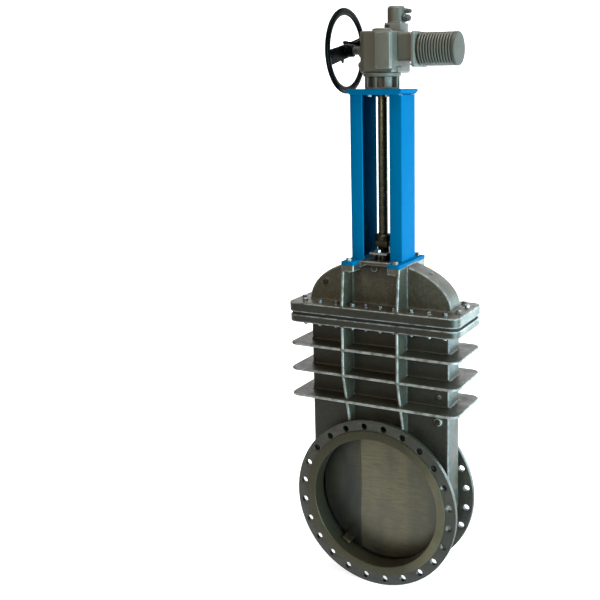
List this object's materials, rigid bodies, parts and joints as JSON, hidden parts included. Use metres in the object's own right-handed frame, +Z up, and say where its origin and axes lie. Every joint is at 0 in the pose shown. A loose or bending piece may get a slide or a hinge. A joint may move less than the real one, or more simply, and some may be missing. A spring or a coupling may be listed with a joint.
{
  "type": "knife gate valve",
  "caption": "Flanged knife gate valve with a closed bonnet, a blue channel yoke and a multi-turn electric actuator with a declutchable handwheel.",
  "frame": {"origin": "centre of the bore, half way between the two raised faces", "axes": "+Z up the stem, Y along the pipe with -Y towards the front flange, X across the pipe with +X on the motor side"},
  "size_m": [0.944, 0.4566, 2.9806],
  "materials": {
    "bare_casting": "satin cast steel, unpainted",
    "machined_steel": "machined, fine grain",
    "stainless_bolting": "bright stainless",
    "dark_steel": "dark oiled steel",
    "yoke_blue": "blue enamel, semi-gloss",
    "actuator_grey": "warm grey powder coat, satin",
    "black_enamel": "black enamel, glossy",
    "gasket_black": "matt",
    "bronze": "cast bronze, machined"
  },
  "bodies": {
    "valve_frame": {"valve_body": "bare_casting", "flush_plug": "stainless_bolting", "seat_ring": "machined_steel", "gate_guide": "bronze", "bonnet": "bare_casting", "vent_plug": "stainless_bolting", "bonnet_gasket": "gasket_black", "packing_ring_1": "gasket_black", "packing_ring_2": "gasket_black", "packing_ring_3": "gasket_black", "packing_ring_4": "gasket_black", "gland_follower": "stainless_bolting", "gland_stud_1": "stainless_bolting", "gland_stud_2": "stainless_bolting", "gland_nut_1": "stainless_bolting", "gland_nut_2": "stainless_bolting", "yoke_foot_left": "yoke_blue", "yoke_foot_right": "yoke_blue", "yoke_channel_left": "yoke_blue", "yoke_channel_right": "yoke_blue", "foot_bolt_1": "stainless_bolting", "foot_bolt_2": "stainless_bolting", "foot_bolt_3": "stainless_bolting", "foot_bolt_4": "stainless_bolting", "yoke_top_plate": "yoke_blue", "actuator_bolt_1": "stainless_bolting", "actuator_bolt_2": "stainless_bolting", "actuator_bolt_3": "stainless_bolting", "actuator_bolt_4": "stainless_bolting", "actuator_neck": "actuator_grey", "gear_housing": "actuator_grey", "front_cover": "actuator_grey", "top_cap": "actuator_grey", "bearing_lower": "machined_steel", "bearing_upper": "machined_steel", "motor_adapter": "actuator_grey", "motor_flange": "actuator_grey", "motor_housing": "actuator_grey", "motor_end_cover": "actuator_grey", "plug_base": "actuator_grey", "plug_cover": "actuator_grey", "cable_gland_1": "dark_steel", "cable_gland_2": "dark_steel"},
    "gate_train": {"gate": "machined_steel", "gate_clevis": "dark_steel", "clevis_pin": "stainless_bolting", "stem": "machined_steel", "nut_carrier": "dark_steel", "spindle_nut": "dark_steel"},
    "output_drive": {"spindle": "machined_steel", "drive_sleeve": "machined_steel", "worm_wheel": "bronze"},
    "worm": {"worm_shaft": "machined_steel"},
    "hand_drive": {"handwheel": "black_enamel", "wheel_shaft": "machined_steel"},
    "declutch": {"declutch_lever": "actuator_grey", "lever_grip": "black_enamel"}
  },
  "joints": [
    {"name": "gate_lift", "type": "slide", "parent": "valve_frame", "child": "gate_train", "axis": [0, 0, 1], "range_m": [0, 0.69]},
    {"name": "spindle_turn", "type": "hinge", "parent": "valve_frame", "child": "output_drive", "pos_m": [0, 0, 2.314], "axis": [0, 0, 1], "range_deg": [-1, 31052]},
    {"name": "worm_turn", "type": "hinge", "parent": "valve_frame", "child": "worm", "pos_m": [0, 0.06, 2.314], "axis": [1, 0, 0], "range_deg": [-1, 403670]},
    {"name": "handwheel_turn", "type": "hinge", "parent": "valve_frame", "child": "hand_drive", "pos_m": [-0.229, 0.06, 2.314], "axis": [1, 0, 0], "continuous": true},
    {"name": "declutch_tilt", "type": "hinge", "parent": "valve_frame", "child": "declutch", "pos_m": [-0.099, -0.01, 2.345], "axis": [1, 0, 0], "range_deg": [0, 85], "stiffness_Nm_per_rad": 0.5, "springref_deg": -20.05}
  ],
  "couplings": [
    {"joint": "spindle_turn", "follows": "gate_lift", "rad_per_m": 785.4},
    {"joint": "worm_turn", "follows": "gate_lift", "rad_per_m": 10210}
  ]
}
